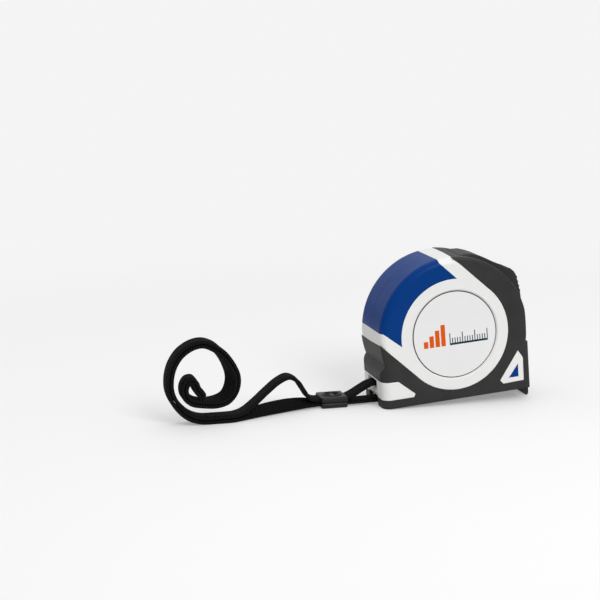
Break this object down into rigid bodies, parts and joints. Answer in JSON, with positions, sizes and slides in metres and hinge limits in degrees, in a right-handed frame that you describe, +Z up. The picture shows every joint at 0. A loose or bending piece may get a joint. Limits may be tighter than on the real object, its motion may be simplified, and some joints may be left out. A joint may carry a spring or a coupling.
{
  "type": "tape measure",
  "caption": "Pocket tape measure with a round-backed case, slide lock, spring-wound blade, end hook, belt clip and looped wrist strap.",
  "frame": {"origin": "on the surface the tape stands on, below the middle of the case with its hook and belt clip", "axes": "+Z up, +X level towards the mouth, -Y towards the label side; the blade rises 4.9 degrees towards the mouth"},
  "size_m": [0.1675, 0.0383, 0.0664],
  "materials": {
    "white_case": "glossy moulded",
    "black_grip": "satin overmould with a fine grain",
    "blue_panel": "glossy moulded",
    "label": "printed satin film",
    "blue_badge": "glossy moulded",
    "screw_steel": "zinc plated",
    "wear_plate": "brushed",
    "bumper_rubber": "matte",
    "spring_steel": "polished plating",
    "post_steel": "turned",
    "mainspring": "blued spring steel",
    "reel_plastic": "moulded",
    "blade": "satin coated",
    "rivet_steel": "plain",
    "hook_steel": "blackened",
    "lock_plastic": "moulded",
    "brake_rubber": "matte",
    "clasp_plastic": "fine grain",
    "strap_webbing": "woven"
  },
  "bodies": {
    "case": {"front_shell": "white_case", "rear_shell": "white_case", "front_grip": "black_grip", "rear_grip": "black_grip", "front_panel": "blue_panel", "rear_panel": "blue_panel", "front_label": "label", "front_badge": "blue_badge", "rear_badge": "blue_badge", "case_screws": "screw_steel", "mouth_plate": "wear_plate", "nose_bumper": "bumper_rubber", "belt_clip": "spring_steel", "clip_screw": "screw_steel", "centre_post": "post_steel", "power_spring": "mainspring", "strap_clasp_base": "clasp_plastic", "strap_clasp_cap": "clasp_plastic", "strap_anchor": "strap_webbing", "strap_upper": "strap_webbing", "strap_lower": "strap_webbing"},
    "reel": {"reel_drum": "reel_plastic", "drum_cover": "reel_plastic", "blade_coil": "blade"},
    "blade": {"blade_strip": "blade", "hook_rivets": "rivet_steel"},
    "hook": {"end_hook": "hook_steel"},
    "lock": {"lock_button": "lock_plastic", "lock_arm": "lock_plastic", "brake_pad": "brake_rubber"}
  },
  "joints": [
    {"name": "blade_pull", "type": "slide", "parent": "case", "child": "blade", "axis": [0.9963, 0, 0.0858], "range_m": [0, 0.03], "stiffness_N_per_m": 8, "springref_m": -0.3},
    {"name": "reel_spin", "type": "hinge", "parent": "case", "child": "reel", "pos_m": [-0.0024, -0.00265, 0.03207], "axis": [0, 1, 0], "range_deg": [-80, 0]},
    {"name": "hook_play", "type": "slide", "parent": "blade", "child": "hook", "axis": [0.9963, 0, 0.0858], "range_m": [0, 0.0008]},
    {"name": "lock_slide", "type": "slide", "parent": "case", "child": "lock", "axis": [0.6418, 0, -0.7669], "range_m": [0, 0.004]}
  ],
  "couplings": [
    {"joint": "reel_spin", "follows": "blade_pull", "rad_per_m": -46.08}
  ]
}
